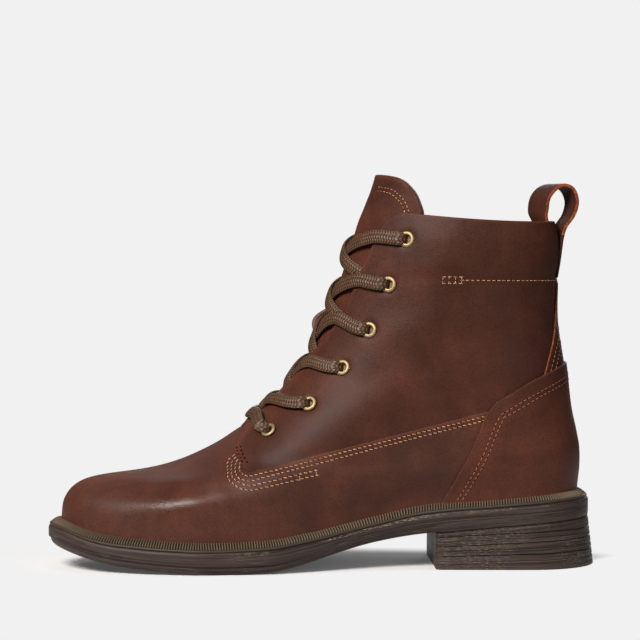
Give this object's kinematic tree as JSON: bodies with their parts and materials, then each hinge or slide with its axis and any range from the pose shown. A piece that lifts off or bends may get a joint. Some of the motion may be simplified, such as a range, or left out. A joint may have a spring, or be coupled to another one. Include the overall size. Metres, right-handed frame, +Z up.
{
  "type": "lace-up ankle boot",
  "caption": "Right-foot lace-up leather ankle boot with a ribbed welt, stacked block heel, leather heel overlay and a pull loop at the back.",
  "frame": {"origin": "on the floor under the middle of the boot's outline", "axes": "-X towards the toe, +X towards the heel, -Y the inner side of the foot, +Y the outer side, +Z up"},
  "size_m": [0.2719, 0.0983, 0.1943],
  "materials": {
    "rubber": "dark grey-brown, dull satin with fine streaks",
    "welt": "olive-brown, ribbed, satin",
    "footbed": "matt tan-brown",
    "leather": "red-brown burnished pull-up leather, soft sheen",
    "loop_leather": "red-brown leather with raw rust-orange edges",
    "eyelet": "pale antique brass, satin",
    "lace": "waxed flat braid, dark taupe"
  },
  "bodies": {
    "root": {"outsole": "rubber", "heel_block": "rubber", "welt": "welt", "insole": "footbed", "upper": "leather", "heel_counter": "leather", "tongue": "leather", "pull_loop": "loop_leather", "eyelet_inner_1": "eyelet", "eyelet_outer_1": "eyelet", "eyelet_inner_2": "eyelet", "eyelet_outer_2": "eyelet", "eyelet_inner_3": "eyelet", "eyelet_outer_3": "eyelet", "eyelet_inner_4": "eyelet", "eyelet_outer_4": "eyelet", "eyelet_inner_5": "eyelet", "eyelet_outer_5": "eyelet", "eyelet_inner_6": "eyelet", "eyelet_outer_6": "eyelet", "lace_bar": "lace", "lace_crossing_1": "lace", "lace_crossing_2": "lace", "lace_crossing_3": "lace", "lace_crossing_4": "lace", "lace_crossing_5": "lace"}
  },
  "joints": []
}
